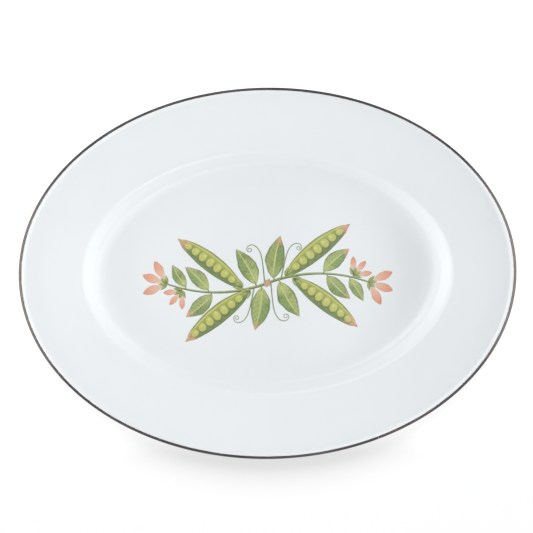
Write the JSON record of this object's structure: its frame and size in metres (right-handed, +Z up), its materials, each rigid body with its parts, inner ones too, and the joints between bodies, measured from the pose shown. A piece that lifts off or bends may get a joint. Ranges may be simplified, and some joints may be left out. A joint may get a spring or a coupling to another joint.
{
  "type": "serving platter",
  "caption": "Oval enamelled-steel serving platter: flat well, steep wall, broad sloping flange with an upturned lip, a crimped metal rim band and a fired-on botanical print.",
  "frame": {"origin": "centre of the flat base, on the surface that the platter rests on", "axes": "+X along the platter's length, +Y across its width towards the top of the print, +Z up out of the well"},
  "size_m": [0.406, 0.303, 0.02],
  "materials": {
    "sheet_steel": "bare pressed sheet, sealed under the coats",
    "ground_enamel": "dark fired ground coat",
    "white_enamel": "glossy white vitreous enamel with a faint ripple",
    "rim_steel": "dark drawn stainless strip, semi-polished",
    "stem_print": "fired-on transfer, glossy",
    "leaf_print": "fired-on transfer, glossy",
    "pod_print": "fired-on transfer, glossy",
    "petal_print": "fired-on transfer, glossy"
  },
  "bodies": {
    "root": {"steel_shell": "sheet_steel", "face_ground_coat": "ground_enamel", "back_ground_coat": "ground_enamel", "face_white_coat": "white_enamel", "back_white_coat": "white_enamel", "rim_band": "rim_steel", "stem_transfer": "stem_print", "leaf_transfer": "leaf_print", "pod_transfer": "pod_print", "petal_transfer": "petal_print"}
  },
  "joints": []
}
